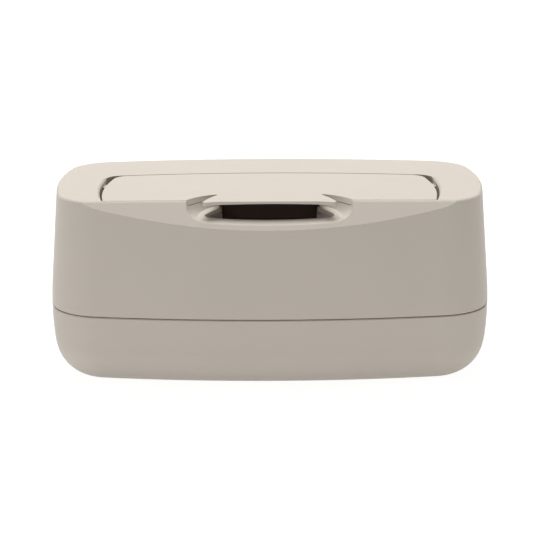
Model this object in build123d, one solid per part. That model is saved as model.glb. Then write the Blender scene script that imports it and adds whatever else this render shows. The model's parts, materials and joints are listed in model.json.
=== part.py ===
from build123d import *
import os
from math import atan, atan2, cos, degrees, hypot, radians, sin, sqrt, tan

# Countertop wipes dispenser: a rounded two-part box with a flush flap in its top.
# Millimetres. x to the right, y to the rear, z up; z = 0 is the table under the feet.

# Outer form
WIDTH = 226.0
DEPTH = 126.0
FOOT_PROUD = 0.8
SHELL_Z = FOOT_PROUD
SEAM_Z = SHELL_Z + 37.0
TOP_Z = SHELL_Z + 94.5
BOW = 12.0  # how far each side bulges between its corners, in plan
CORNER_R = 28.0
DRAFT = atan(0.073)  # the walls above the belly lean in by this
BELLY_Z = SHELL_Z + 35.0  # the widest level
BELLY_R = 145.0
BOTTOM_R = 21.0
WALL = 2.6
EDGE_R = 1.6  # rounding of the hood's top edge
CORE = 24.0  # inset at which the swept wall ends and the flat middle begins

# Joint between base and hood
SEAM_GAP = 0.5
SEAM_BEVEL = 0.4
SPIGOT_IN = 1.45  # how far the base's inner rim is set back from the skin
LIP_T = 1.15  # hood skin outside that rim
SPIGOT_TOP = SEAM_Z + 5.2
GASKET_H = 0.9
STEP_Z = SPIGOT_TOP + GASKET_H + 0.3

# Sloping facet along the hood's front top edge
CREASE_Y = -48.6
CREASE_R = 4400.0
CREASE_ROUND = 2.4
FACET_RUN = 0.89  # forward travel per millimetre down
FACET_DROP = 22.0  # depth to which the cut that makes it reaches
FAR_FRONT_Y = -130.0

# Flap, its recess and the well under it
LID_T = 2.6
LID_SEAT = 0.3  # clearance under the flap's front edge
LID_SIDE = (84.1, -25.0, 150.0)  # widest half width, where, and bow radius
LID_REAR_Y = 18.9
LID_CORNER = 9.0
RECESS_SIDE = (86.2, -14.0, 160.0)
RECESS_CORNER = 9.0
RECESS_SOFT = 0.9  # bevel along the recess's sides
REAR_GAP = 0.8
LAND_UNDERCUT = 1.1
REAR_BOW_R = 494.0
CREASE_LIP = 0.25
FRONT_GAP = 0.6
LEDGE = 3.0
WELL_REAR_Y = LID_REAR_Y + REAR_GAP + LAND_UNDERCUT
WELL_WALL = 2.0
WELL_DEPTH = 22.0
DECK_Z = TOP_Z - WELL_DEPTH

# Finger scoop: at each depth, half width at the facet, half width at the rear, and rear limit
SCOOP = (
    (-1.0, 41.5, 26.5, -34.7),
    (3.4, 40.9, 26.5, -35.2),
    (5.9, 39.7, 26.3, -36.0),
    (7.4, 37.9, 26.0, -36.8),
    (8.6, 35.3, 25.5, -38.0),
    (9.7, 31.5, 24.5, -40.0),
    (11.4, 24.0, 20.0, -44.0),
)
SCOOP_BULGE = 1.4  # how far its slanted sides bow, outwards and to the rear
SCOOP_SET_BACK = 0.8  # how far behind the facet they start
SCOOP_SKIN = 2.4
SILL_SLOPE = 0.2
SILL_DEPTH = 10.7
SILL_HOLLOW = 512.0  # radius across the sill
SILL_FRONT_Y = CREASE_Y - FACET_RUN * SILL_DEPTH
POCKET = ((32.4, -47.6), (23.7, -37.8), (23.7, -32.5))
POCKET_FRONT_Y = -49.8
POCKET_CORNER = 1.5
POCKET_SIDEWAYS = 0.8  # sideways growth per millimetre of growth to the front
# The rolled edge of the pocket: depth under the sill, and how far the pocket has widened there
POCKET_ROLL = ((4.0, 0.0), (1.5, 0.0), (0.7, 0.35), (0.2, 0.9), (-0.2, 1.5), (-1.5, 2.6), (-2.5, 3.2))

# Tongue that bridges the scoop
TONGUE_T = 1.8
TONGUE_ARCH = (1.2, 750.0)  # thickness in the middle, and radius of the arched underside
TONGUE_CORNER = 1.5
TONGUE_ROOT = (26.1, -35.6)
TONGUE_WAIST = (30.7, -45.0)
TONGUE_TIP = (33.7, -54.8)
TONGUE_FRONT = (20.0, -51.5)
TONGUE_FLARE = (28.0, -52.3)

# Hinge
HINGE_Y = 3.5
HINGE_Z = TOP_Z - 5.2
PIN_R = 1.0
PIN_RUN = 0.05
EAR_X = (73.0, 77.0)
EAR_R = 3.4
BRACKET_X = (78.5, 87.5)
BOSS_R = 2.3
PIN_X = (72.6, 84.0)

# Dispensing opening in the deck, its seal and membrane; ovals, round-ended, are (half length, half width)
DECK_T = 2.2
ORIFICE_Y = -13.0
RIM_OUT = (52.0, 16.5)
RIM_T = 2.6
RIM_TOP = TOP_Z - 14.0
ORIFICE = (46.0, 10.5)
MEMBRANE = (50.0, 14.5)
MEMBRANE_T = 1.4
SLOT = (64.0, 9.0)
RING_OUT = (54.0, 18.5)
RING_T = 2.2

# Liner under the flap
LINER_PLATE = (56.0, 20.0)
LINER_T = 1.6
SKIRT_OUT = (52.6, 17.1)
SKIRT_T = 3.2
SKIRT_BOTTOM = RIM_TOP + 0.8
SEAL_T = 1.6
SEAL_TOP = RIM_TOP + 2.0
SEAL_GAP = 0.1
LINER_SCREWS = [(x, ORIFICE_Y + y) for x in (-30.0, 30.0) for y in (-7.0, 7.0)]

# Screws: shank radius, head radius, head height
M3 = (1.5, 2.9, 2.0)
M25 = (1.25, 2.5, 1.5)
M2 = (1.0, 1.9, 1.2)
POST_R = 4.0
POSTS = [(x, y) for x in (-93.0, 93.0) for y in (-30.0, 6.0)]
RING_SCREWS = [(52.2, 0.0), (-52.2, 0.0)] + [(x, y) for x in (-30.0, 30.0) for y in (-16.6, 16.6)]

# Weighted plate that rides down on the wipes
PLATE = (174.0, 78.0, 18.0)  # length, width and corner radius
PLATE_H = 9.0
PLATE_SKIN = 2.0
PLATE_HOLE = (88.0, 38.0)
PLATE_STOP_H = 1.2
PLATE_Z = SHELL_Z + WALL + PLATE_STOP_H + 0.2
COVER_T = 1.6
WEIGHT = (32.0, 62.0, 4.6)
WEIGHT_X = 66.0

# Feet
FOOT_R = 7.0
FOOT_H = 2.0
FEET = {"front_left": (-72.0, -25.0), "front_right": (72.0, -25.0)}
FEET.update({"rear_left": (-72.0, 25.0), "rear_right": (72.0, 25.0)})

# The plan outline is four bowed sides joined by four corner arcs, all tangent
FRONT_R = ((WIDTH / 2) ** 2 + BOW**2) / (2 * BOW)
SIDE_R = ((DEPTH / 2) ** 2 + BOW**2) / (2 * BOW)
FRONT_CY = FRONT_R - DEPTH / 2
SIDE_CX = WIDTH / 2 - SIDE_R


def corner_centre():
    """Centre of the front right corner arc, tangent inside both bowed sides."""
    reach_front = FRONT_R - CORNER_R
    reach_side = SIDE_R - CORNER_R
    gap = hypot(SIDE_CX, FRONT_CY)
    along = (gap**2 + reach_front**2 - reach_side**2) / (2 * gap)
    across = sqrt(reach_front**2 - along**2)
    ux = SIDE_CX / gap
    uy = -FRONT_CY / gap
    return ux * along - uy * across, FRONT_CY + uy * along + ux * across


CORNER_X, CORNER_Y = corner_centre()
FRONT_END = degrees(atan2(CORNER_Y - FRONT_CY, CORNER_X))
SIDE_END = degrees(atan2(CORNER_Y, CORNER_X - SIDE_CX))

# The upright section is a bottom rounding, a belly arc and a drafted line, all tangent
BELLY_SIN = (BELLY_Z - SHELL_Z - BOTTOM_R) / (BELLY_R - BOTTOM_R)
BOTTOM_IN = BELLY_R - (BELLY_R - BOTTOM_R) * sqrt(1 - BELLY_SIN**2)
BOTTOM_CZ = SHELL_Z + BOTTOM_R
KNEE_Z = SHELL_Z + WALL + (BOTTOM_R - WALL) * (1 - sqrt(0.5))


def outline(inset, z=0.0):
    """Edges of the body's plan outline, moved inwards by inset, starting at the front centre."""
    spans = [
        (0, FRONT_CY, FRONT_R, -90, FRONT_END),
        (CORNER_X, CORNER_Y, CORNER_R, FRONT_END, SIDE_END),
        (SIDE_CX, 0, SIDE_R, SIDE_END, -SIDE_END),
        (CORNER_X, -CORNER_Y, CORNER_R, -SIDE_END, -FRONT_END),
        (0, -FRONT_CY, FRONT_R, -FRONT_END, 180 + FRONT_END),
        (-CORNER_X, -CORNER_Y, CORNER_R, 180 + FRONT_END, 180 + SIDE_END),
        (-SIDE_CX, 0, SIDE_R, 180 + SIDE_END, 180 - SIDE_END),
        (-CORNER_X, CORNER_Y, CORNER_R, 180 - SIDE_END, 180 - FRONT_END),
        (0, FRONT_CY, FRONT_R, 180 - FRONT_END, 270),
    ]
    edges = []
    for x, y, radius, start, end in spans:
        r = radius - inset
        angles = [radians(a) for a in (start, (start + end) / 2, end)]
        edges.append(ThreePointArc(*[(x + r * cos(a), y + r * sin(a), z) for a in angles]))
    return edges


def levels(skin_in):
    """Heights where the rounding meets the belly, and the belly meets the drafted line."""
    r = BELLY_R - skin_in
    return BELLY_Z - r * BELLY_SIN, BELLY_Z + r * sin(DRAFT)


def inset_at(z, skin_in=0.0):
    """Inset of the skin at height z, for a skin moved inwards by skin_in."""
    r = BELLY_R - skin_in
    low, high = levels(skin_in)
    if z >= high:
        return BELLY_R - r * cos(DRAFT) + tan(DRAFT) * (z - high)
    if z >= low:
        return BELLY_R - sqrt(r**2 - (z - BELLY_Z) ** 2)
    return BOTTOM_IN - sqrt(max((BOTTOM_R - skin_in) ** 2 - (BOTTOM_CZ - z) ** 2, 0.0))


def at(inset, z):
    """A point of the upright section, in the plane through the front centre."""
    return (0.0, inset - DEPTH / 2, z)


def chord(z0, z1, skin_in):
    """One straight edge of the upright section from z0 up to z1, for the plainer inside."""
    return Line(at(inset_at(z0, skin_in), z0), at(inset_at(z1, skin_in), z1))


def skin(z0, z1, skin_in=0.0):
    """Edges of the upright section from z0 up to z1."""
    heights = [z0] + [z for z in levels(skin_in) if z0 < z < z1] + [z1]
    edges = []
    for a, b in zip(heights, heights[1:]):
        start, middle, end = [at(inset_at(z, skin_in), z) for z in (a, (a + b) / 2, b)]
        straight = a > levels(skin_in)[1] - 0.001
        edges.append(Line(start, end) if straight else ThreePointArc(start, middle, end))
    return edges


def swept(edges):
    """A closed section carried round the plan outline."""
    return sweep(make_face(edges), path=Wire(outline(0.0)))


def filled(section, low, high):
    """The solid inside a section's outer edges, which run from the point low up to the point high."""
    z0 = low[2]
    z1 = high[2]
    closing = [Line(high, at(CORE, z1)), Line(at(CORE, z1), at(CORE, z0)), Line(at(CORE, z0), low)]
    return swept(section + closing) + extrude(make_face(outline(CORE, z0)), z1 - z0)


def hollow(z0, z1, skin_in):
    """A plain inner space between two heights."""
    return filled([chord(z0, z1, skin_in)], at(inset_at(z0, skin_in), z0), at(inset_at(z1, skin_in), z1))


def slab(face, z0, z1):
    """A flat plan face made solid between two heights."""
    return Pos(0, 0, z0) * extrude(face, z1 - z0)


def oval(size, grow=0.0):
    """A long round-ended face round the dispensing opening."""
    return Pos(0, ORIFICE_Y) * SlotOverall(2 * (size[0] + grow), 2 * (size[1] + grow))


def drum(r, x, y, z0, z1):
    """An upright cylinder."""
    return Pos(x, y, z0) * extrude(Circle(r), z1 - z0)


def cross_drum(r, x0, x1, y, z):
    """A cylinder along x."""
    return Pos(x0, y, z) * (Rot(0, 90, 0) * extrude(Circle(r), x1 - x0))


def facet_cut(inwards=0.0):
    """All that lies in front of the sloping facet, a wide cone whose top edge is rounded."""
    slope = hypot(1.0, FACET_RUN)
    y = CREASE_Y + inwards * slope
    setback = CREASE_ROUND * tan(atan2(1.0, FACET_RUN) / 2)
    start = (0, y + setback, TOP_Z)
    end = (0, y - setback * FACET_RUN / slope, TOP_Z - setback / slope)
    low = (0, y - FACET_DROP * FACET_RUN, TOP_Z - FACET_DROP)
    above = TOP_Z + 6
    rounding = TangentArc(start, end, tangent=(0, -1, 0))
    front = [(0, FAR_FRONT_Y, low[2]), (0, FAR_FRONT_Y, above)]
    rest = Polyline(end, low, *front, (0, start[1], above), start)
    section = make_face([rounding] + list(rest.edges()))
    axis = Axis((0, CREASE_Y - CREASE_R, 0), (0, 0, 1))
    return revolve(section, axis, 4).fuse(revolve(section, axis, -4))


def flap_face(side, rear_y, front_gap, corner, grow=0.0):
    """Plan of the flap, its recess or the well: bowed sides and rear, hollow front edge."""
    half, middle_y, radius = side
    half += grow
    right = Pos(half - radius, middle_y) * Circle(radius)
    left = Pos(radius - half, middle_y) * Circle(radius)
    rear = Pos(0, rear_y - REAR_BOW_R) * Circle(REAR_BOW_R)
    front = Pos(0, CREASE_Y - CREASE_R + front_gap) * Circle(CREASE_R)
    face = (right & left & rear) - front
    return fillet(face.vertices().sort_by(Axis.Y)[-2:], corner)


def scoop_section(depth, front, rear, rear_y, grow=0.0):
    """Plan of the scoop at a depth below the top, open towards the front."""
    side_y = CREASE_Y - FACET_RUN * depth + SCOOP_SET_BACK
    end_y = rear_y + grow / 2
    outer = front + grow
    inner = rear + grow
    edges = []
    for side in (-1, 1):
        a = (side * outer, side_y)
        b = (side * inner, end_y)
        middle = (side * ((outer + inner) / 2 + SCOOP_BULGE), (side_y + end_y) / 2 + SCOOP_BULGE)
        edges += [Line((a[0], FAR_FRONT_Y), a), ThreePointArc(a, middle, b)]
    edges += [Line((-inner, end_y), (inner, end_y)), Line((-outer, FAR_FRONT_Y), (outer, FAR_FRONT_Y))]
    return Pos(0, 0, TOP_Z - depth) * make_face(edges)


def scoop_cut(grow=0.0):
    """The bowl that a finger enters, with a sill that rises slightly towards the rear."""
    bowl = loft([scoop_section(depth + grow, *rest, grow) for depth, *rest in SCOOP])
    middle = (0, SILL_FRONT_Y, TOP_Z - SILL_DEPTH - grow)
    half = 60.0
    rise = half**2 / (2 * SILL_HOLLOW)
    ends = [(side * half, SILL_FRONT_Y, middle[2] + rise) for side in (-1, 1)]
    low = [(side * half, SILL_FRONT_Y, middle[2] - half) for side in (1, -1)]
    under = make_face([ThreePointArc(ends[0], middle, ends[1]), Polyline(ends[1], *low, ends[0])])
    return bowl - extrude(under, 2 * half, dir=(0, 1, SILL_SLOPE), both=True)


def pocket_face(grow=0.0):
    """Plan of the deep pocket behind the sill, open into the well at the rear."""
    (cx, cy), (sx, sy), (ex, ey) = POCKET
    wide = POCKET_SIDEWAYS * grow
    corners = [(side * (cx + wide), cy - grow) for side in (-1, 1)]
    rest = [(sx + wide, sy), (ex + wide, ey), (-ex - wide, ey), (-sx - wide, sy)]
    edges = [ThreePointArc(corners[0], (0, POCKET_FRONT_Y - grow), corners[1])]
    face = make_face(edges + [Polyline(corners[1], *rest, corners[0])])
    ends = [v for v in face.vertices() if abs(v.X) > cx + wide - 0.01]
    return fillet(ends, POCKET_CORNER + grow / 2)


def pocket_roll():
    """Cut that rolls the pocket's edge over, in planes that lie along the sill."""
    faces = []
    for depth, grow in POCKET_ROLL:
        origin = (0, SILL_FRONT_Y, TOP_Z - SILL_DEPTH - depth)
        along = Plane(origin=origin, x_dir=(1, 0, 0), z_dir=(0, -SILL_SLOPE, 1))
        faces.append(along * Pos(0, -SILL_FRONT_Y, 0) * pocket_face(grow))
    return loft(faces, ruled=True)


def screw(size, length):
    """A round-headed screw, head down, its shank rising from z = 0."""
    shank, head, height = size
    profile = [(0, -height), (head * 0.7, -height), (head, 0), (shank, 0), (shank, length), (0, length)]
    face = make_face(Polyline(*[(x, 0, z) for x, z in profile], close=True))
    return revolve(face, Axis.Z)


def screw_group(places, z, size, length):
    """Identical screws, each a solid of its own."""
    return Compound([Pos(x, y, z) * screw(size, length) for x, y in places])


# Base

def base_tray():
    low = SHELL_Z + WALL
    rim = SEAM_Z - SEAM_GAP / 2
    bevel_z = rim - SEAM_BEVEL
    bevel_in = at(inset_at(rim) + SEAM_BEVEL, rim)
    belly = levels(WALL)[0]
    section = skin(SHELL_Z, bevel_z) + [chord(rim, SPIGOT_TOP, SPIGOT_IN)]
    section += [chord(*span, WALL) for span in ((low, KNEE_Z), (KNEE_Z, belly), (belly, SPIGOT_TOP))]
    section += [Line(at(inset_at(bevel_z), bevel_z), bevel_in)]
    section += [Line(bevel_in, at(inset_at(rim, SPIGOT_IN), rim))]
    top_out = at(inset_at(SPIGOT_TOP, SPIGOT_IN), SPIGOT_TOP)
    section += [Line(top_out, at(inset_at(SPIGOT_TOP, WALL), SPIGOT_TOP))]
    section += [Line(at(BOTTOM_IN, low), at(CORE, low)), Line(at(CORE, low), at(CORE, SHELL_Z))]
    section += [Line(at(CORE, SHELL_Z), at(BOTTOM_IN, SHELL_Z))]
    tray = swept(section) + extrude(make_face(outline(CORE, SHELL_Z)), WALL)
    for x, y in FEET.values():
        tray -= drum(FOOT_R + 0.1, x, y, SHELL_Z - 1, FOOT_H)
        tray += drum(4.0, x, y, low - 0.1, low + PLATE_STOP_H)
    return tray


def base_gasket():
    inner = inset_at(SPIGOT_TOP, WALL) - 0.1
    outer = inset_at(SPIGOT_TOP, SPIGOT_IN) + 0.1
    top = SPIGOT_TOP + GASKET_H
    corners = [(outer, SPIGOT_TOP), (inner, SPIGOT_TOP), (inner, top), (outer, top)]
    return swept(Polyline(*[at(*p) for p in corners], close=True))


def foot(x, y):
    pad = drum(FOOT_R, x, y, 0, FOOT_H)
    return chamfer(pad.edges().sort_by(Axis.Z)[0], 0.5)


# Hood

def hood_shell():
    rim = SEAM_Z + SEAM_GAP / 2
    bevel_low = at(inset_at(rim) + SEAM_BEVEL, rim)
    bevel_high = at(inset_at(rim + SEAM_BEVEL), rim + SEAM_BEVEL)
    section = [Line(bevel_low, bevel_high)] + skin(rim + SEAM_BEVEL, TOP_Z)
    outer = filled(section, bevel_low, at(inset_at(TOP_Z), TOP_Z))
    outer = fillet([e for e in outer.edges() if abs(e.center().Z - TOP_Z) < 0.01], EDGE_R)
    outer -= facet_cut()
    inside = hollow(STEP_Z, TOP_Z - WALL, WALL) + hollow(rim - 1, STEP_Z, LIP_T)
    shell = outer - (inside - facet_cut(WALL))
    well_out = flap_face(RECESS_SIDE, WELL_REAR_Y + WELL_WALL, LEDGE - WELL_WALL, RECESS_CORNER + 2, WELL_WALL)
    shell += slab(well_out, DECK_Z, TOP_Z - WALL) & outer
    well = flap_face(RECESS_SIDE, WELL_REAR_Y, LEDGE, RECESS_CORNER)
    shell -= slab(well, DECK_Z - 1, TOP_Z - LID_T - LID_SEAT)
    scoop_skin = scoop_cut(SCOOP_SKIN) + slab(pocket_face(WELL_WALL), DECK_Z, TOP_Z - 9)
    shell += scoop_skin & outer
    low_recess = flap_face(RECESS_SIDE, WELL_REAR_Y, CREASE_LIP, RECESS_CORNER)
    recess = flap_face(RECESS_SIDE, LID_REAR_Y + REAR_GAP, CREASE_LIP, RECESS_CORNER)
    low_z = TOP_Z - LID_T - LID_SEAT
    shell -= loft([Pos(0, 0, low_z) * low_recess, Pos(0, 0, TOP_Z) * recess], ruled=True)
    soft_low = flap_face(RECESS_SIDE, LID_REAR_Y - 1, FRONT_GAP, RECESS_CORNER, -0.1)
    soft = flap_face(RECESS_SIDE, LID_REAR_Y - 1, FRONT_GAP, RECESS_CORNER, RECESS_SOFT)
    shell -= loft([Pos(0, 0, TOP_Z - RECESS_SOFT - 0.1) * soft_low, Pos(0, 0, TOP_Z) * soft], ruled=True)
    shell -= scoop_cut()
    shell -= slab(pocket_face(), DECK_Z - 1, TOP_Z - LID_T - LID_SEAT)
    shell -= pocket_roll()
    for side in (-1, 1):
        shell += bracket(side)
        shell -= cross_drum(PIN_R + PIN_RUN, *sorted((side * 70.0, side * 92.0)), HINGE_Y, HINGE_Z)
    for x, y in POSTS:
        shell += drum(POST_R, x, y, DECK_Z, TOP_Z - WALL + 0.2)
        shell -= drum(M3[0], x, y, DECK_Z - 1, DECK_Z + 9)
    return shell


def bracket(side):
    """Bearing block for one hinge pin, standing in from the well's side wall."""
    x0, x1 = sorted((side * BRACKET_X[0], side * BRACKET_X[1]))
    web = Box(x1 - x0, 7, 2 * BOSS_R, align=(Align.MIN, Align.MAX, Align.CENTER))
    return cross_drum(BOSS_R, x0, x1, HINGE_Y, HINGE_Z) + Pos(x0, HINGE_Y, HINGE_Z) * web


def dispensing_deck():
    low = DECK_Z - DECK_T
    plan = flap_face(RECESS_SIDE, WELL_REAR_Y + WELL_WALL, LEDGE - WELL_WALL, RECESS_CORNER + 2, WELL_WALL)
    deck = slab(plan, low, DECK_Z) + slab(pocket_face(WELL_WALL), low, DECK_Z)
    for x, y in POSTS:
        inner_x = x - 12 if x > 0 else x + 12
        deck += slab(SlotCenterToCenter(12, 2 * POST_R).moved(Location(((x + inner_x) / 2, y))), low, DECK_Z)
    deck += slab(oval(RIM_OUT) - oval(RIM_OUT, -RIM_T), DECK_Z, RIM_TOP)
    deck -= slab(oval(ORIFICE), low - 1, DECK_Z + 1)
    for x, y in POSTS:
        deck -= drum(M3[0] + 0.2, x, y, low - 1, DECK_Z + 1)
    for x, y in RING_SCREWS:
        deck -= drum(M2[0], x, y + ORIFICE_Y, low - 1, low + 1.8)
    return deck


def dispensing_membrane():
    high = DECK_Z - DECK_T
    sheet = oval(MEMBRANE) - Pos(0, ORIFICE_Y) * SlotOverall(*SLOT)
    return slab(sheet, high - MEMBRANE_T, high)


def membrane_ring():
    high = DECK_Z - DECK_T
    low = high - MEMBRANE_T - RING_T
    ring = slab(oval(RING_OUT) - oval(ORIFICE, -1.0), low, high - MEMBRANE_T)
    ring += slab(oval(RING_OUT) - oval(MEMBRANE, 0.3), low, high)
    for x, y in RING_SCREWS:
        ring -= drum(M2[0] + 0.1, x, y + ORIFICE_Y, low - 1, high + 1)
    return ring


# Flap

def lid_panel():
    low = TOP_Z - LID_T
    panel = slab(flap_face(LID_SIDE, LID_REAR_Y, FRONT_GAP, LID_CORNER), low, TOP_Z)
    panel = chamfer([e for e in panel.edges() if abs(e.center().Z - TOP_Z) < 0.01], 0.3)
    rim = flap_face(LID_SIDE, LID_REAR_Y, LEDGE + 1, LID_CORNER, -1.0)
    rim -= flap_face(LID_SIDE, LID_REAR_Y, LEDGE + 1, LID_CORNER, -2.6)
    rim &= Pos(0, -23) * Rectangle(200, 34)
    panel += slab(rim, low - 3, low + 0.1)
    panel -= scoop_cut()
    panel -= facet_cut()
    panel += tongue()
    for side in (-1, 1):
        panel += ear(side)
        panel -= cross_drum(PIN_R, *sorted((side * 70.0, side * 80.0)), HINGE_Y, HINGE_Z)
    for x, y in LINER_SCREWS:
        panel -= drum(M25[0], x, y, low - 1, low + 1.6)
    return panel


def tongue():
    """The pull tongue: waisted sides, a hollow front edge and an arched underside."""
    spans = [(TONGUE_ROOT, TONGUE_WAIST, TONGUE_TIP), (TONGUE_TIP, TONGUE_FLARE, TONGUE_FRONT)]
    edges = []
    for side in (-1, 1):
        edges += [ThreePointArc(*[(side * x, y) for x, y in span]) for span in spans]
    (rx, ry), (fx, fy) = TONGUE_ROOT, TONGUE_FRONT
    edges += [Line((-fx, fy), (fx, fy)), Polyline((rx, ry), (rx, ry + 2), (-rx, ry + 2), (-rx, ry))]
    face = make_face(edges)
    face = fillet(face.vertices().sort_by(Axis.Y)[:2], TONGUE_CORNER)
    middle_t, radius = TONGUE_ARCH
    length = 2 * (ry - TONGUE_TIP[1])
    arch = Pos(0, TONGUE_TIP[1], TOP_Z - middle_t - radius) * Rot(90, 0, 0) * Cylinder(radius, length)
    return slab(face, TOP_Z - TONGUE_T, TOP_Z) - arch


def ear(side):
    """Cheek under the flap that holds one hinge pin."""
    x0, x1 = sorted((side * EAR_X[0], side * EAR_X[1]))
    low = TOP_Z - LID_T + 0.1
    web = [(0, HINGE_Y - 9, low), (0, HINGE_Y - EAR_R, HINGE_Z), (0, HINGE_Y + EAR_R, HINGE_Z)]
    web += [(0, HINGE_Y + EAR_R + 1, low)]
    cheek = extrude(make_face(Polyline(*web, close=True)), x1 - x0, dir=(1, 0, 0))
    return Pos(x0, 0, 0) * cheek + cross_drum(EAR_R, x0, x1, HINGE_Y, HINGE_Z)


def lid_liner():
    high = TOP_Z - LID_T
    liner = slab(oval(LINER_PLATE), high - LINER_T, high)
    liner += slab(oval(SKIRT_OUT) - oval(SKIRT_OUT, -SKIRT_T), SKIRT_BOTTOM, high - LINER_T)
    inset = (SKIRT_T - SEAL_T) / 2
    liner -= slab(oval(SKIRT_OUT, -inset) - oval(SKIRT_OUT, -inset - SEAL_T), SKIRT_BOTTOM - 1, SEAL_TOP)
    for x, y in LINER_SCREWS:
        liner -= drum(M25[0] + 0.2, x, y, high - LINER_T - 1, high + 1)
    return liner


def lid_seal():
    inset = (SKIRT_T - SEAL_T) / 2
    return slab(oval(SKIRT_OUT, -inset) - oval(SKIRT_OUT, -inset - SEAL_T), RIM_TOP + SEAL_GAP, SEAL_TOP)


def hinge_pin(side):
    x0, x1 = sorted((side * PIN_X[0], side * PIN_X[1]))
    pin = cross_drum(PIN_R, x0, x1, HINGE_Y, HINGE_Z)
    return chamfer(pin.edges().filter_by(GeomType.CIRCLE), 0.3)


# Weighted plate

def plate_shape(inset, z0, z1):
    length, width, corner = PLATE
    outer = RectangleRounded(length - 2 * inset, width - 2 * inset, corner - inset)
    hole = SlotOverall(PLATE_HOLE[0] + 2 * inset, PLATE_HOLE[1] + 2 * inset)
    return slab(outer - hole, z0, z1)


def plate_frame():
    low = PLATE_Z
    high = PLATE_Z + PLATE_H
    frame = plate_shape(0, low, high)
    frame = chamfer([e for e in frame.edges() if abs(e.center().Z - high) < 0.01], 1.2)
    frame -= plate_shape(PLATE_SKIN, low - 1, high - PLATE_SKIN)
    for side in (-1, 1):
        for dx in (-1, 1):
            x = side * WEIGHT_X + dx * (WEIGHT[0] / 2 + 1.0)
            rib = slab(Pos(x, 0) * Rectangle(1.4, PLATE[1] - 2), low + COVER_T, high - 1)
            frame += rib & plate_shape(0.5, low, high)
    return frame


def plate_cover():
    return plate_shape(PLATE_SKIN + 0.1, PLATE_Z, PLATE_Z + COVER_T)


def plate_weight(side):
    length, width, height = WEIGHT
    bar = slab(Pos(side * WEIGHT_X, 0) * RectangleRounded(length, width, 2), 0, height)
    return Pos(0, 0, PLATE_Z + COVER_T) * bar


def build():
    """Every node of the dispenser, by name."""
    nodes = {
        "base_tray": base_tray(),
        "base_gasket": base_gasket(),
        "hood_shell": hood_shell(),
        "dispensing_deck": dispensing_deck(),
        "deck_screws": screw_group(POSTS, DECK_Z - DECK_T, M3, 10),
        "dispensing_membrane": dispensing_membrane(),
        "membrane_ring": membrane_ring(),
        "lid_panel": lid_panel(),
        "lid_liner": lid_liner(),
        "lid_seal": lid_seal(),
        "plate_frame": plate_frame(),
        "plate_cover": plate_cover(),
    }
    ring_low = DECK_Z - DECK_T - MEMBRANE_T - RING_T
    ring_places = [(x, y + ORIFICE_Y) for x, y in RING_SCREWS]
    nodes["ring_screws"] = screw_group(ring_places, ring_low, M2, RING_T + MEMBRANE_T + 1.7)
    nodes["liner_screws"] = screw_group(LINER_SCREWS, TOP_Z - LID_T - LINER_T, M25, LINER_T + 1.4)
    for name, (x, y) in FEET.items():
        nodes["foot_" + name] = foot(x, y)
    for name, side in (("left", -1), ("right", 1)):
        nodes["hinge_pin_" + name] = hinge_pin(side)
        nodes["plate_weight_" + name] = plate_weight(side)
    return nodes


os.makedirs("parts", exist_ok=True)
for node, shape in build().items():
    export_step(shape, "parts/" + node + ".step")
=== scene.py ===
# %% [markdown]
# # A countertop wipes dispenser
#
# The real object is a rounded plastic box in two halves, with a flush flap in its top.
# A tongue on the flap bridges a finger scoop, and a finger under the tongue lifts the flap.
# The construction is finished already, so this lesson is about its looks: what each plastic,
# rubber and steel surface is like, how small repeated pieces are made with Geometry Nodes,
# and how a white studio is lit so that a pale grey box keeps its form.
#
# Everything here is in metres. The frame below is the finished construction, and each piece
# stays where the frame has it.

# %% Load the frame
import json
from math import cos, pi, radians, sin

import bmesh
import bpy
from mathutils import Matrix, Vector


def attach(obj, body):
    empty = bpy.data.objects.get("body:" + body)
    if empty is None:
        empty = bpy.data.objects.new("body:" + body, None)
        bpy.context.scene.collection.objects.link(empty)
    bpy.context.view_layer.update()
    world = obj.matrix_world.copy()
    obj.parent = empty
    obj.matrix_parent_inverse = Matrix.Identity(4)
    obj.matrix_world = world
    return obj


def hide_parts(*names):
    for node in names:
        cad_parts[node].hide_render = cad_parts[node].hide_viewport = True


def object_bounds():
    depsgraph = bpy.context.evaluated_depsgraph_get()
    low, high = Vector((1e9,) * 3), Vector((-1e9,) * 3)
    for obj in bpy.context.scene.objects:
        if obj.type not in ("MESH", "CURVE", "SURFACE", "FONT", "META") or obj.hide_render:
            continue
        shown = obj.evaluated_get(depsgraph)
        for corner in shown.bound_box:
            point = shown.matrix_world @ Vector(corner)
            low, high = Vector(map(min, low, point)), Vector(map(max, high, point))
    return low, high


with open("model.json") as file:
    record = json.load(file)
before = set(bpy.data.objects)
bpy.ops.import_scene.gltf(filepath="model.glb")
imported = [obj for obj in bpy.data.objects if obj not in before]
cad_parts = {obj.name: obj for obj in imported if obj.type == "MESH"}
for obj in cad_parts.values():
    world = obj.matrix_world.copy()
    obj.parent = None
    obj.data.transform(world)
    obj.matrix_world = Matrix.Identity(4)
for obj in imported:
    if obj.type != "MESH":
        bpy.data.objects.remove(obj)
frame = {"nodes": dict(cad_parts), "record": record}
CAD_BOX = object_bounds()
MM = 0.001
spans = [round((high - low) / MM, 1) for low, high in zip(*CAD_BOX)]
print("the box measures", spans, "mm and has", len(frame["nodes"]), "nodes")

# %% [markdown]
# ## How a finish is built
#
# A moulded surface is never one flat colour. Close up it has a fine grain, which the steel
# mould was etched with so that the plastic doesn't shine like glass. From further off its
# shade and its gloss drift a little, where the melt cooled faster or a cloth has rubbed.
# Three noises at three sizes give those three effects: one drives the colour, one the
# roughness and one the bump. All three read Object coordinates, which are the frame's metres,
# so a grain of 0.3 mm is 0.3 mm on every piece, and it stays put when a piece moves.
#
# The helpers come first. `put` adds any node and sets its sockets, for materials here and for
# geometry later. `noise` takes the size of a patch in metres, because that is what a maker
# knows, and turns it into the scale that the texture wants.

# %% Helpers for node trees
SOFT_DETAIL = 2.0


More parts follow.
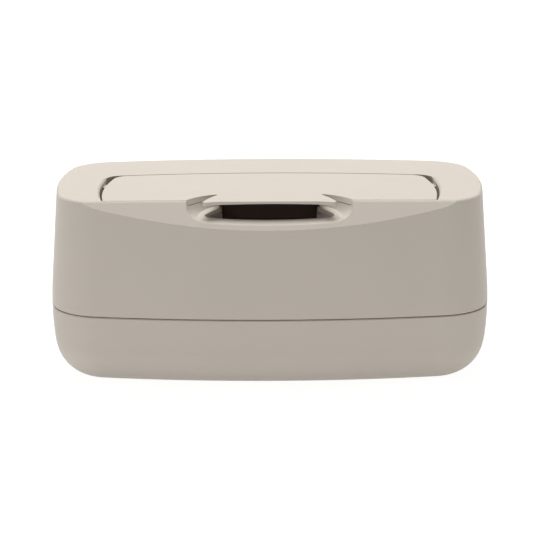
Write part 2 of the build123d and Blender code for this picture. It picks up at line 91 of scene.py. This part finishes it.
def fresh_material(name):
    """A new material, its tree and its shader."""
    material = bpy.data.materials.new(name)
    material.use_nodes = True
    tree = material.node_tree
    return material, tree, tree.nodes["Principled BSDF"]


def put(tree, kind, links=(), **values):
    """A node with its sockets set, and linked from other nodes' sockets."""
    node = tree.nodes.new(kind)
    for name, value in values.items():
        node.inputs[name.replace("_", " ")].default_value = value
    for source, name in links:
        tree.links.new(source, node.inputs[name])
    return node


def noise(tree, patch, detail=SOFT_DETAIL, stretch=None):
    """The output of a noise whose patches are about that many metres across."""
    place = put(tree, "ShaderNodeTexCoord").outputs["Object"]
    if stretch:
        place = put(tree, "ShaderNodeMapping", [(place, "Vector")], Scale=stretch).outputs["Vector"]
    texture = put(tree, "ShaderNodeTexNoise", [(place, "Vector")], Scale=1 / patch, Detail=detail)
    return texture.outputs["Fac"]


print("helpers for node trees are ready")

# %% [markdown]
# ## Colour, gloss and grain
#
# Each of the three effects is one small function, so that every finish below can use it with
# its own numbers. A noise rarely reaches 0 or 1, so its useful middle, from 0.3 to 0.7, is
# spread over the whole range that is wanted.

# %% The three effects
NOISE_LOW = 0.3
NOISE_HIGH = 0.7
GRAIN_DETAIL = 3.0


def drift_colour(tree, shader, colour, amount, patch):
    """The colour drifts by that share, darker and lighter, over patches of that size."""
    ramp = put(tree, "ShaderNodeValToRGB", [(noise(tree, patch), "Fac")])
    places = (NOISE_LOW, NOISE_HIGH)
    shades = (1 - amount, 1 + amount)
    for stop, place, shade in zip(ramp.color_ramp.elements, places, shades):
        stop.position = place
        stop.color = (*(channel * shade for channel in colour), 1)
    tree.links.new(ramp.outputs["Color"], shader.inputs["Base Color"])


def drift_gloss(tree, shader, roughness, amount, patch):
    """The roughness drifts by that much either way."""
    spread = put(
        tree, "ShaderNodeMapRange", [(noise(tree, patch), "Value")],
        From_Min=NOISE_LOW, From_Max=NOISE_HIGH,
        To_Min=roughness - amount, To_Max=roughness + amount)
    tree.links.new(spread.outputs["Result"], shader.inputs["Roughness"])


def grain(tree, shader, patch, depth, strength, stretch=None):
    """A fine relief: patches of that size, that many metres deep."""
    links = [(noise(tree, patch, GRAIN_DETAIL, stretch), "Height")]
    bump = put(tree, "ShaderNodeBump", links, Strength=strength, Distance=depth)
    tree.links.new(bump.outputs["Normal"], shader.inputs["Normal"])


print("drift_colour, drift_gloss and grain are ready")

# %% [markdown]
# ## The three plastics
#
# The shell is a warm grey with a satin etch. The pieces inside the well are given a near-black
# brown grey, which is painted shade: it stands for the deep shade in the gap under the tongue
# and makes that gap look black. The weighted plate is plain and a little coarser, because nobody
# sees it.
#
# A plastic reflects about 4 percent of the light straight on, which is an index of refraction
# near 1.5. The etch breaks up part of that shine, so the specular level is a quarter, which is
# half its usual value. Both numbers are the same all over, so they go on the shader's own
# sockets.

# %% Moulded plastics
PLASTIC_IOR = 1.48
ETCH_DULLING = 0.25
ETCH_DEPTH = 0.012 * MM
ETCH_STRENGTH = 0.25
SHADE_DRIFT = 0.012
SHADE_PATCH = 60 * MM
SHINE_DRIFT = 0.035
SHINE_PATCH = 9 * MM


def moulded_plastic(name, colour, roughness, grain_size):
    """An etched plastic, matte or satin by its roughness."""
    material, tree, shader = fresh_material(name)
    shader.inputs["IOR"].default_value = PLASTIC_IOR
    shader.inputs["Specular IOR Level"].default_value = ETCH_DULLING
    drift_colour(tree, shader, colour, SHADE_DRIFT, SHADE_PATCH)
    drift_gloss(tree, shader, roughness, SHINE_DRIFT, SHINE_PATCH)
    grain(tree, shader, grain_size, ETCH_DEPTH, ETCH_STRENGTH)
    print(name, "grain", round(grain_size / MM, 2), "mm")
    return material


shell_satin = moulded_plastic(
    "shell_satin", colour=(0.564, 0.513, 0.45), roughness=0.58, grain_size=0.35 * MM)
# The inner plastic's near-black brown is painted shade, for the shade in the gap under the tongue.
inner_painted_shade = moulded_plastic(
    "inner_painted_shade", colour=(0.11, 0.076, 0.056), roughness=0.65, grain_size=0.3 * MM)
plate_matte = moulded_plastic(
    "plate_matte", colour=(0.4, 0.37, 0.33), roughness=0.6, grain_size=0.5 * MM)

# %% [markdown]
# ## The rubbers
#
# Seals and feet are soft elastomer. It is dark, nearly without gloss, and has a faint bloom of
# dust that makes its edges look paler: that is what the sheen does. The feet get a coarser
# grain than the seals, because a foot has to grip and a seal has to close.

# %% Elastomers
DUST = 0.15
DUST_ROUGHNESS = 0.5
RUBBER_GRAIN_DEPTH = 0.02 * MM
RUBBER_GRAIN_STRENGTH = 0.35


def elastomer(name, colour, roughness, grain_size):
    """A soft dark rubber with a dusty sheen."""
    material, tree, shader = fresh_material(name)
    shader.inputs["Sheen Weight"].default_value = DUST
    shader.inputs["Sheen Roughness"].default_value = DUST_ROUGHNESS
    drift_colour(tree, shader, colour, amount=0.08, patch=12 * MM)
    drift_gloss(tree, shader, roughness, amount=0.05, patch=4 * MM)
    grain(tree, shader, grain_size, RUBBER_GRAIN_DEPTH, RUBBER_GRAIN_STRENGTH)
    print(name, "grain", round(grain_size / MM, 2), "mm")
    return material


soft_seal = elastomer(
    "soft_seal", colour=(0.03, 0.027, 0.025), roughness=0.6, grain_size=0.25 * MM)
grippy_foot = elastomer(
    "grippy_foot", colour=(0.05, 0.047, 0.044), roughness=0.75, grain_size=0.6 * MM)

# %% [markdown]
# ## The steels
#
# Screws are turned on a lathe, so very fine lines run round them. A noise does that when its
# scale is larger along one axis: six times as many patches along z, the screws' own axis,
# leaves flat streaks that go round. The hinge pins share the finish, but they sit in their
# bearings, where none of it shows. The two weights are rolled bar with a dull zinc coat. Its
# crystals are patches of a few millimetres, and a small scale along x draws the relief out
# that way.

# %% Turned steel and zinc
METAL_GLOSS_DRIFT = 0.08
STREAK_DEPTH = 0.004 * MM
STREAK_STRENGTH = 0.3


def steel(name, colour, roughness, grain_size, patch, drift, stretch):
    """A bare metal, streaked by a tool or patched by a coat."""
    material, tree, shader = fresh_material(name)
    shader.inputs["Metallic"].default_value = 1.0
    drift_colour(tree, shader, colour, drift, patch)
    drift_gloss(tree, shader, roughness, METAL_GLOSS_DRIFT, patch)
    grain(tree, shader, grain_size, STREAK_DEPTH, STREAK_STRENGTH, stretch)
    print(name, "streaks", stretch)
    return material


turned_steel = steel(
    "turned_steel", colour=(0.62, 0.61, 0.6), roughness=0.28,
    grain_size=0.15 * MM, patch=3 * MM, drift=0.05, stretch=(1, 1, 6))
zinc_bar = steel(
    "zinc_bar", colour=(0.45, 0.45, 0.46), roughness=0.42,
    grain_size=0.4 * MM, patch=6 * MM, drift=0.12, stretch=(0.2, 1, 1))

# %% [markdown]
# ## Dressing the nodes
#
# The record names a material slot for every node. A node of the frame keeps its mesh, and only
# the material in its slots changes, so the loop below is the whole of the dressing. The
# finishes have names of their own, because the frame brings materials that are already named
# after the slots, and a look-up by name would find those plain ones.

# %% Give each node its finish
FINISHES = {
    "taupe_shell": shell_satin,
    "inner_plastic": inner_painted_shade,
    "plate_plastic": plate_matte,
    "seal_rubber": soft_seal,
    "foot_rubber": grippy_foot,
    "bright_steel": turned_steel,
    "weight_steel": zinc_bar,
}
slot_of = {part["node"]: part["material_slot"] for part in frame["record"]["subparts"]}
for name, node in frame["nodes"].items():
    for slot in node.material_slots:
        slot.material = FINISHES[slot_of[name]]
print("dressed", len(slot_of), "nodes in", len(set(slot_of.values())), "finishes")

# %% [markdown]
# ## Measuring the screws
#
# Fourteen screws hold the deck, the membrane's ring and the flap's liner. The frame has them as
# plain turned shapes, three groups of them. A real one has a domed head with a cross recess and
# a thread, so each group is replaced by better screws in the same places.
#
# Their places and sizes are measured on the frame. A group's mesh is loose triangles, so a copy
# is welded first, and then each island of joined faces is one screw. The corners furthest from
# its axis are the rim of the head, where the head meets the part that it clamps.

# %% Find every screw in a group
WELD = 0.001 * MM


def islands(node_name):
    """The corner points of each separate solid in a node."""
    mesh = bmesh.new()
    mesh.from_mesh(frame["nodes"][node_name].data)
    bmesh.ops.remove_doubles(mesh, verts=mesh.verts, dist=WELD)
    seen = set()
    found = []
    for start in mesh.verts:
        if start in seen:
            continue
        seen.add(start)
        reached = [start]
        for corner in reached:
            near = [edge.other_vert(corner) for edge in corner.link_edges]
            fresh = [other for other in near if other not in seen]
            seen.update(fresh)
            reached.extend(fresh)
        found.append([corner.co.copy() for corner in reached])
    mesh.free()
    return found


def measure_screw(corners):
    """Where head and shank meet, both radii, the head's height and the shank's length."""
    lows = [min(corner[i] for corner in corners) for i in range(3)]
    highs = [max(corner[i] for corner in corners) for i in range(3)]
    axis = Vector(((lows[0] + highs[0]) / 2, (lows[1] + highs[1]) / 2, 0))
    reach = [((corner - axis).xy.length, corner.z) for corner in corners]
    head = max(radius for radius, z in reach)
    rim = [z for radius, z in reach if radius > head - WELD]
    seat = sum(rim) / len(rim)
    shank = max(radius for radius, z in reach if z > highs[2] - WELD)
    return Vector((axis.x, axis.y, seat)), head, shank, seat - lows[2], highs[2] - seat


for group in ("deck_screws", "ring_screws", "liner_screws"):
    measured = [measure_screw(corners) for corners in islands(group)]
    print(group, len(measured), "screws, head radius", round(measured[0][1] / MM, 2), "mm")

# %% [markdown]
# ## A screw as a node tree
#
# All fourteen screws are the same idea at different sizes, so the tree has named inputs for the
# sizes, and one tree serves all three groups.
#
# - The head is a short cylinder cut by a large ball, which domes its face.
# - Two crossed blocks are cut out of it for the recess, one after the other, because blocks
#   that overlap each other would spoil a single cut.
# - The shank is a cylinder, and the thread is a spiral with a small triangle carried along it.
# - One screw is put on every point of the group, turned by a random angle, because nobody lines
#   up the slots of screws. The seed is fixed, so the angles are the same every time.
#
# Realize Instances and Set Material end the tree, so that what comes out is a plain mesh.

# %% Helpers for geometry trees
def feed(tree, node, values):
    """The output of a node whose inputs are each given a number or another node's socket."""
    for entry, value in zip(node.inputs, values):
        if isinstance(value, (int, float)):
            entry.default_value = value
        else:
            tree.links.new(value, entry)
    return node.outputs[0]


def reckon(tree, operation, first, second):
    """A sum, product, quotient or comparison of two sockets or numbers."""
    node = tree.nodes.new("ShaderNodeMath")
    node.operation = operation
    return feed(tree, node, (first, second))


def triple(tree, x=0.0, y=0.0, z=0.0):
    """A vector of three sockets or numbers."""
    return feed(tree, tree.nodes.new("ShaderNodeCombineXYZ"), (x, y, z))


def raised(tree, geometry, height):
    """Geometry shifted along z by a socket."""
    links = [(geometry, "Geometry"), (triple(tree, z=height), "Translation")]
    return put(tree, "GeometryNodeTransform", links).outputs["Geometry"]


def carved(tree, operation, first, second):
    """INTERSECT keeps what two solids share, and DIFFERENCE cuts the second from the first."""
    node = tree.nodes.new("GeometryNodeMeshBoolean")
    node.operation = operation
    node.solver = "EXACT"
    # An intersection takes both solids through its second input.
    entry = "Mesh 1" if operation == "DIFFERENCE" else "Mesh 2"
    tree.links.new(first, node.inputs[entry])
    tree.links.new(second, node.inputs["Mesh 2"])
    return node.outputs["Mesh"]


def by_identifier(sockets, identifier):
    """The socket with that identifier. Several of a node's sockets can share a name."""
    return next(one for one in sockets if one.identifier == identifier)


print("helpers for geometry trees are ready")

# %% [markdown]
# The tree is built in the order in which a screw is made. Each step is a function that takes the
# tree and the group's inputs, and gives back the socket with what it made.

# %% The head, with its dome and its recess
HEAD_SIDES = 36  # round the head, and how finely the ball that domes it is divided
BALL_SEGMENTS = 96
BALL_RINGS = 96
DOME_DROP = 0.35  # how much lower the dome is at the rim, as a share of the head's height
RECESS_SPAN = 1.2  # a recess block's length and width, as shares of the head's radius
RECESS_WIDTH = 0.3


def dome_radius(tree, radius, drop):
    """The radius of the ball whose cap is that wide and that deep, (r * r + d * d) / 2 d."""
    across = reckon(tree, "MULTIPLY", radius, radius)
    down = reckon(tree, "MULTIPLY", drop, drop)
    total = reckon(tree, "ADD", across, down)
    return reckon(tree, "DIVIDE", total, reckon(tree, "MULTIPLY", drop, 2.0))


def screw_head(tree, size):
    """A domed head below z = 0, with a cross cut into its face."""
    radius, height = size["Head radius"], size["Head height"]
    links = [(radius, "Radius"), (height, "Depth")]
    barrel = put(tree, "GeometryNodeMeshCylinder", links, Vertices=HEAD_SIDES).outputs["Mesh"]
    barrel = raised(tree, barrel, reckon(tree, "MULTIPLY", height, -0.5))

    ball_radius = dome_radius(tree, radius, reckon(tree, "MULTIPLY", height, DOME_DROP))
    links = [(ball_radius, "Radius")]
    ball = put(tree, "GeometryNodeMeshUVSphere", links, Segments=BALL_SEGMENTS, Rings=BALL_RINGS)
    ball = raised(tree, ball.outputs["Mesh"], reckon(tree, "SUBTRACT", ball_radius, height))
    head = carved(tree, "INTERSECT", barrel, ball)

    long = reckon(tree, "MULTIPLY", radius, RECESS_SPAN)
    thin = reckon(tree, "MULTIPLY", radius, RECESS_WIDTH)
    for across in ((long, thin, height), (thin, long, height)):
        links = [(triple(tree, *across), "Size")]
        block = put(tree, "GeometryNodeMeshCube", links).outputs["Mesh"]
        block = raised(tree, block, reckon(tree, "MULTIPLY", height, -1.0))
        head = carved(tree, "DIFFERENCE", head, block)
    return head


print("a head has", HEAD_SIDES, "sides")

# %% The shank and its thread
SHANK_SIDES = 20
THREAD_STEPS = 16
THREAD_SIDES = 3
TOOTH_SIZE = 0.4  # the radius round the thread's triangle, as a share of the pitch


def screw_shank(tree, size):
    """A shank above z = 0, wound with a triangular thread that leaves a pitch bare at each end."""
    radius, length, pitch = size["Shank radius"], size["Shank length"], size["Pitch"]
    links = [(radius, "Radius"), (length, "Depth")]
    core = put(tree, "GeometryNodeMeshCylinder", links, Vertices=SHANK_SIDES).outputs["Mesh"]
    core = raised(tree, core, reckon(tree, "MULTIPLY", length, 0.5))

    run = reckon(tree, "SUBTRACT", length, reckon(tree, "MULTIPLY", pitch, 2.0))
    links = [
        (reckon(tree, "DIVIDE", run, pitch), "Rotations"),
        (radius, "Start Radius"),
        (radius, "End Radius"),
        (run, "Height"),
    ]
    spiral = put(tree, "GeometryNodeCurveSpiral", links, Resolution=THREAD_STEPS).outputs["Curve"]
    links = [(reckon(tree, "MULTIPLY", pitch, TOOTH_SIZE), "Radius")]
    tooth = put(tree, "GeometryNodeCurvePrimitiveCircle", links, Resolution=THREAD_SIDES)
    links = [(spiral, "Curve"), (tooth.outputs["Curve"], "Profile Curve")]
    thread = put(tree, "GeometryNodeCurveToMesh", links, Fill_Caps=True).outputs["Mesh"]
    return core, raised(tree, thread, pitch)


print("a thread has", THREAD_STEPS, "steps a turn")

# %% The whole tree
SCREW_SIZES = ("Head radius", "Head height", "Shank radius", "Shank length", "Pitch")
TURN_SEED = 7
SHARP_ANGLE = radians(35)


def screw_tree():
    """A tree that puts one screw on every point that it is given."""
    tree = bpy.data.node_groups.new("screws_on_points", "GeometryNodeTree")
    tree.interface.new_socket("Points", in_out="INPUT", socket_type="NodeSocketGeometry")
    for name in SCREW_SIZES:
        tree.interface.new_socket(name, in_out="INPUT", socket_type="NodeSocketFloat")
    tree.interface.new_socket("Finish", in_out="INPUT", socket_type="NodeSocketMaterial")
    tree.interface.new_socket("Screws", in_out="OUTPUT", socket_type="NodeSocketGeometry")
    size = tree.nodes.new("NodeGroupInput").outputs

    one = tree.nodes.new("GeometryNodeJoinGeometry")
    for made in (*screw_shank(tree, size), screw_head(tree, size)):
        tree.links.new(made, one.inputs["Geometry"])

    turn = tree.nodes.new("FunctionNodeRandomValue")
    turn.data_type = "FLOAT"
    by_identifier(turn.inputs, "Min_001").default_value = 0.0
    by_identifier(turn.inputs, "Max_001").default_value = pi
    by_identifier(turn.inputs, "Seed").default_value = TURN_SEED
    angle = triple(tree, z=by_identifier(turn.outputs, "Value_001"))
    links = [(size["Points"], "Points"), (one.outputs[0], "Instance"), (angle, "Rotation")]
    placed = put(tree, "GeometryNodeInstanceOnPoints", links).outputs["Instances"]

    real = put(tree, "GeometryNodeRealizeInstances", [(placed, "Geometry")]).outputs["Geometry"]
    smooth = put(tree, "GeometryNodeSetShadeSmooth", [(real, "Geometry")]).outputs["Geometry"]
    bend = tree.nodes.new("GeometryNodeInputMeshEdgeAngle").outputs["Unsigned Angle"]
    sharp = reckon(tree, "GREATER_THAN", bend, SHARP_ANGLE)
    links = [(smooth, "Geometry"), (sharp, "Selection")]
    crisp = put(tree, "GeometryNodeSetShadeSmooth", links, Shade_Smooth=False)
    crisp.domain = "EDGE"
    links = [(crisp.outputs["Geometry"], "Geometry"), (size["Finish"], "Material")]
    dressed = put(tree, "GeometryNodeSetMaterial", links).outputs["Geometry"]
    output = tree.nodes.new("NodeGroupOutput")
    tree.links.new(dressed, output.inputs["Screws"])
    return tree


SCREWS = screw_tree()
print("the tree has", len(SCREWS.nodes), "nodes")

# %% [markdown]
# ## From points to plain meshes
#
# A group starts as a mesh that has nothing but one point for each screw. The modifier gets its
# sizes by the sockets' identifiers, which stay the same when a socket is renamed. The evaluated
# result is then copied into a plain mesh. The modifier stays behind with the points, which are
# deleted, and the plain mesh rides on the body and replaces the frame's group.

# %% Make the three groups of screws
PITCH_SHARE = 0.36  # a thread's pitch, as a share of the shank's radius


def set_inputs(modifier, tree, values):
    """Sets a modifier's inputs, found by name, through their identifiers."""
    for item in tree.interface.items_tree:
        if item.item_type == "SOCKET" and item.in_out == "INPUT" and item.name in values:
            modifier[item.identifier] = values[item.name]


def make_screws(piece_name, node_name, body):
    """One mesh with the screws of a group, in the places of the frame's own."""
    found = [measure_screw(corners) for corners in islands(node_name)]
    found.sort(key=lambda screw: tuple(screw[0]))
    seats = [screw[0] for screw in found]
    head, shank, height, length = found[0][1:]
    points = bpy.data.meshes.new(piece_name + "_points")
    points.from_pydata(seats, [], [])
    carrier = bpy.data.objects.new(piece_name + "_points", points)
    bpy.context.scene.collection.objects.link(carrier)
    modifier = carrier.modifiers.new("screws", "NODES")
    modifier.node_group = SCREWS
    values = dict(zip(SCREW_SIZES, (head, height, shank, length, shank * PITCH_SHARE)))
    values["Finish"] = turned_steel
    set_inputs(modifier, SCREWS, values)
    graph = bpy.context.evaluated_depsgraph_get()
    mesh = bpy.data.meshes.new_from_object(carrier.evaluated_get(graph))
    bpy.data.objects.remove(carrier)
    piece = bpy.data.objects.new(piece_name, mesh)
    bpy.context.scene.collection.objects.link(piece)
    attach(piece, body)
    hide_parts(node_name)
    print(piece_name, len(found), "screws,", len(mesh.polygons), "faces")
    return piece


make_screws("deck_pan_screws", "deck_screws", "hood")
make_screws("ring_pan_screws", "ring_screws", "hood")
make_screws("liner_pan_screws", "liner_screws", "lid")

# %% [markdown]
# ## The floor
#
# A product is photographed on white so that nothing competes with it. Painting the floor pure
# white and flooding it with light would wash out the box too. Instead the floor answers two
# questions in two ways. To the light it is a table of white acrylic, which glows a little from
# below, so that its light comes up onto the front and under the curved base. To the camera it
# is a white card with a little of the same shading, which keeps the soft shadow that the box
# stands in. A Light Path node tells the two apart, and mirror-like reflections see the white
# card as well.

# %% The floor and the white card
FLOOR_SIZE = 8.0
FLOOR_COLOUR = (0.8, 0.8, 0.8, 1)
TABLE_GLOW = 0.31
CARD_GLOW = 0.92
CARD_SHADING = (0.22, 0.22, 0.22, 1)


def seen_ray(tree):
    """1 for what the camera, a reflection or a clear piece sees, and 0 for light."""
    path = tree.nodes.new("ShaderNodeLightPath").outputs
    seen = reckon(tree, "MAXIMUM", path["Is Camera Ray"], path["Is Glossy Ray"])
    return reckon(tree, "MAXIMUM", seen, path["Is Transmission Ray"])


def white_card():
    """A glowing table to the light, and a white card to the camera and in reflections."""
    material, tree, shader = fresh_material("studio_floor")
    tree.nodes.remove(shader)
    sheets = []
    for colour, glow in ((FLOOR_COLOUR, TABLE_GLOW), (CARD_SHADING, CARD_GLOW)):
        matte = put(tree, "ShaderNodeBsdfDiffuse", Color=colour).outputs[0]
        light = put(tree, "ShaderNodeEmission", Strength=glow).outputs[0]
        sheets.append(feed(tree, tree.nodes.new("ShaderNodeAddShader"), (matte, light)))
    choice = feed(tree, tree.nodes.new("ShaderNodeMixShader"), (seen_ray(tree), *sheets))
    tree.links.new(choice, tree.nodes["Material Output"].inputs["Surface"])
    return material


half = FLOOR_SIZE / 2
corners = [(-half, -half, 0), (half, -half, 0), (half, half, 0), (-half, half, 0)]
floor_mesh = bpy.data.meshes.new("studio_floor")
floor_mesh.from_pydata(corners, [], [(0, 1, 2, 3)])
floor_mesh.materials.append(white_card())
floor = bpy.data.objects.new("studio_floor", floor_mesh)
bpy.context.scene.collection.objects.link(floor)
print("the floor is", FLOOR_SIZE, "m across")

# %% [markdown]
# ## The light
#
# The top of the box is its brightest face, the sloping facet is a clear step darker, and the
# front is darker still. Such steps come from a large lamp overhead and slightly behind: the
# steeper a face stands towards the front, the less of that lamp it sees. The front is then lit
# by the table and by the pale room, which is the world's even light. A weak lamp in front at
# the left makes the right end of the front a little darker, as in the photograph.
#
# The room is treated as the floor is: it lights the box evenly and weakly, but the camera and
# the reflections see a white backdrop. That backdrop is what lies as a faint veil on the top,
# which is seen at a low angle and so reflects the most.

# %% The lamps and the room
ROOM_LIGHT = 0.28
WHITE = (1, 1, 1, 1)
BACKDROP = 1.0
LOOK_AT = Vector((0, 0, 0.06))


def softbox(name, size, place, power):
    """A soft rectangular lamp that looks at the box."""
    lamp = bpy.data.lights.new(name, "AREA")
    lamp.shape = "RECTANGLE"
    lamp.size, lamp.size_y = size
    lamp.energy = power
    holder = bpy.data.objects.new(name, lamp)
    holder.location = place
    holder.rotation_euler = (LOOK_AT - Vector(place)).to_track_quat("-Z", "Y").to_euler()
    bpy.context.scene.collection.objects.link(holder)
    print(name, power, "W")


def pale_room():
    """An even light on the box, and a white backdrop for the camera and reflections."""
    room = bpy.data.worlds.new("studio_room")
    room.use_nodes = True
    tree = room.node_tree
    even = put(tree, "ShaderNodeBackground", Color=WHITE, Strength=ROOM_LIGHT).outputs[0]
    white = put(tree, "ShaderNodeBackground", Color=WHITE, Strength=BACKDROP).outputs[0]
    choice = feed(tree, tree.nodes.new("ShaderNodeMixShader"), (seen_ray(tree), even, white))
    tree.links.new(choice, tree.nodes["World Output"].inputs["Surface"])
    bpy.context.scene.world = room


pale_room()
softbox("overhead_softbox", size=(1.5, 1.1), place=(-0.12, 0.48, 1.93), power=41)
softbox("left_softbox", size=(1.0, 1.2), place=(-1.6, -1.4, 0.9), power=5)

# %% [markdown]
# ## The camera
#
# The photograph was taken with a long lens from a metre away, a little above the box. That
# flattens the perspective, so that both ends look alike. The angle of view and the distance
# were worked out from the outline of the box. The picture is also turned by a quarter of a
# degree, which shows in the seam: its right end is a hair higher than its left. The view
# transform is Standard, so that a colour comes out about as it is written.

# %% Place the camera
AIM = Vector((0.0001, 0.0, 0.0475))
DISTANCE = 1.046
ELEVATION = radians(14.25)
FIELD_OF_VIEW = radians(15.36)
ROLL = radians(-0.23)

lens = bpy.data.cameras.new("camera")
lens.angle = FIELD_OF_VIEW
camera = bpy.data.objects.new("camera", lens)
place = AIM + DISTANCE * Vector((0, -cos(ELEVATION), sin(ELEVATION)))
tilt = Matrix.Rotation(pi / 2 - ELEVATION, 4, "X") @ Matrix.Rotation(ROLL, 4, "Z")
camera.matrix_world = Matrix.Translation(place) @ tilt
bpy.context.scene.collection.objects.link(camera)
bpy.context.scene.camera = camera
bpy.context.scene.view_settings.view_transform = "Standard"
print("the camera is", round(place.length, 3), "m from the origin")
